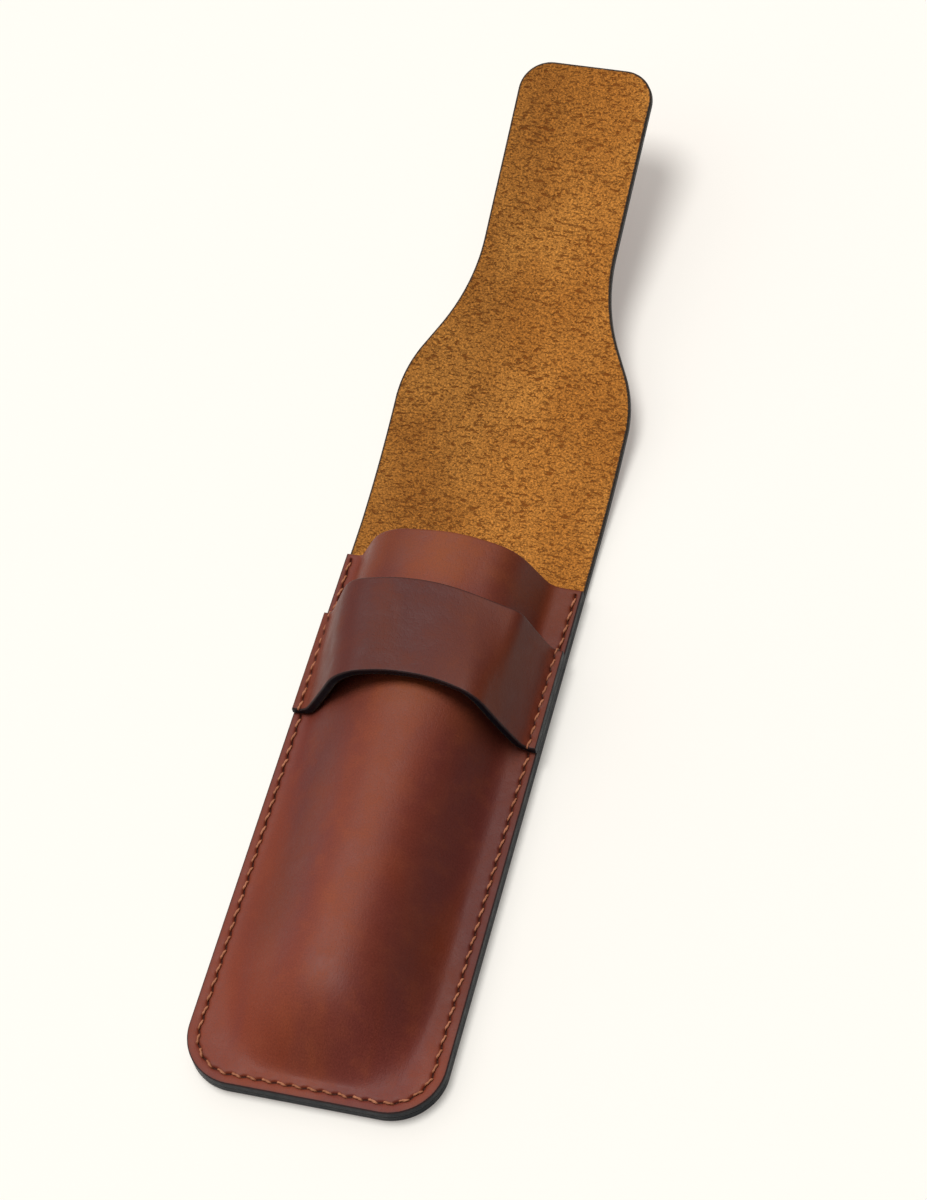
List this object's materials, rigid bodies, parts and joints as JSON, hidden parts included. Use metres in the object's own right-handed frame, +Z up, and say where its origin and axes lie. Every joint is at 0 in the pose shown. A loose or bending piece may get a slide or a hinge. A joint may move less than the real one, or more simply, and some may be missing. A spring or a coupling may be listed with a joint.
{
  "type": "fountain pen case",
  "caption": "Slim stitched leather sleeve for two fountain pens, with a moulded pocket, a cross strap and a long folding flap whose tongue tucks under the strap.",
  "frame": {"origin": "middle of the back panel's flat underside, on the pocket's centreline, halfway between the pocket's bottom edge and its mouth", "axes": "+Y along the case from the closed bottom towards the flap, +Z up from the back panel through the moulded front, +X to the right across the case"},
  "size_m": [0.06, 0.2654, 0.0272],
  "materials": {
    "grain_leather": "smooth oiled vegetable-tanned grain, satin",
    "suede": "flesh side, matt napped",
    "edge_paint": "satin painted leather edge",
    "thread": "waxed braided thread"
  },
  "bodies": {
    "case": {"back_panel": "suede", "front_panel": "grain_leather", "tuck_strap": "grain_leather", "seam_thread": "thread", "case_edge_paint": "edge_paint", "mouth_edge_paint": "edge_paint", "strap_edge_paint": "edge_paint"},
    "fold_1": {"flap_fold_1": "suede", "fold_edge_paint_1": "edge_paint"},
    "fold_2": {"flap_fold_2": "suede", "fold_edge_paint_2": "edge_paint"},
    "fold_3": {"flap_fold_3": "suede", "fold_edge_paint_3": "edge_paint"},
    "flap": {"flap": "suede", "flap_edge_paint": "edge_paint"}
  },
  "joints": [
    {"name": "flap_close", "type": "hinge", "parent": "case", "child": "fold_1", "pos_m": [0, 0.079, 0.0011], "axis": [1, 0, 0], "range_deg": [-3.35, 40.7], "stiffness_Nm_per_rad": 0.12, "springref_deg": 1.89},
    {"name": "flap_bend_2", "type": "hinge", "parent": "fold_1", "child": "fold_2", "pos_m": [0, 0.08848, 0.00166], "axis": [1, 0, 0], "range_deg": [-3.35, 40.7], "stiffness_Nm_per_rad": 0.12, "springref_deg": 1.89},
    {"name": "flap_bend_3", "type": "hinge", "parent": "fold_2", "child": "fold_3", "pos_m": [0, 0.09792, 0.00279], "axis": [1, 0, 0], "range_deg": [-3.35, 40.7], "stiffness_Nm_per_rad": 0.12, "springref_deg": 1.89},
    {"name": "flap_bend_4", "type": "hinge", "parent": "fold_3", "child": "flap", "pos_m": [0, 0.10727, 0.00447], "axis": [1, 0, 0], "range_deg": [-3.35, 40.7], "stiffness_Nm_per_rad": 0.12, "springref_deg": 1.89}
  ],
  "couplings": [
    {"joint": "flap_bend_2", "follows": "flap_close", "ratio": 1},
    {"joint": "flap_bend_3", "follows": "flap_close", "ratio": 1},
    {"joint": "flap_bend_4", "follows": "flap_close", "ratio": 1}
  ]
}
